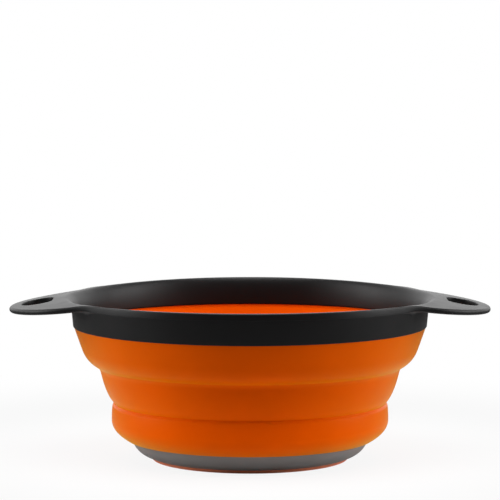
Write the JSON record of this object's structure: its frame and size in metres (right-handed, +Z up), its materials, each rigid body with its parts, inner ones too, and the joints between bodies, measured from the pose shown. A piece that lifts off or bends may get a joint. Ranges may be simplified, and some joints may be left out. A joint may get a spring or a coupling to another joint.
{
  "type": "collapsible colander",
  "caption": "Round collapsible colander with a rigid black rim and slotted lug handles, an orange bellows wall that folds flat, and a grey base with a perforated floor.",
  "frame": {"origin": "centre of the underside that the colander stands on", "axes": "+Z up out of the bowl, +X along the two handles, +Y square to them"},
  "size_m": [0.3204, 0.2408, 0.1098],
  "materials": {
    "rim_plastic": "satin",
    "wall_rubber": "matte",
    "dish_plastic": "satin",
    "base_plastic": "satin",
    "foot_rubber": "matte"
  },
  "bodies": {
    "base": {"foot_ring": "foot_rubber", "base_ring": "base_plastic", "dish_wall": "dish_plastic", "strainer_plate": "dish_plastic", "lower_band": "wall_rubber", "lower_fold": "wall_rubber"},
    "rim": {"rim_frame": "rim_plastic", "upper_band": "wall_rubber"},
    "middle_wall": {"middle_band": "wall_rubber"},
    "rolling_fold": {"upper_fold": "wall_rubber"}
  },
  "joints": [
    {"name": "collapse", "type": "slide", "parent": "base", "child": "rim", "axis": [0, 0, -1], "range_m": [0, 0.07]},
    {"name": "middle_follow", "type": "slide", "parent": "base", "child": "middle_wall", "axis": [0, 0, -1], "range_m": [0, 0.0351], "deforming": ["middle_band"]},
    {"name": "fold_follow", "type": "slide", "parent": "base", "child": "rolling_fold", "axis": [0, 0, -1], "range_m": [0, 0.0603], "deforming": ["upper_fold"]}
  ],
  "couplings": [
    {"joint": "middle_follow", "follows": "collapse", "ratio": 0.5},
    {"joint": "fold_follow", "follows": "collapse", "ratio": 0.86}
  ]
}
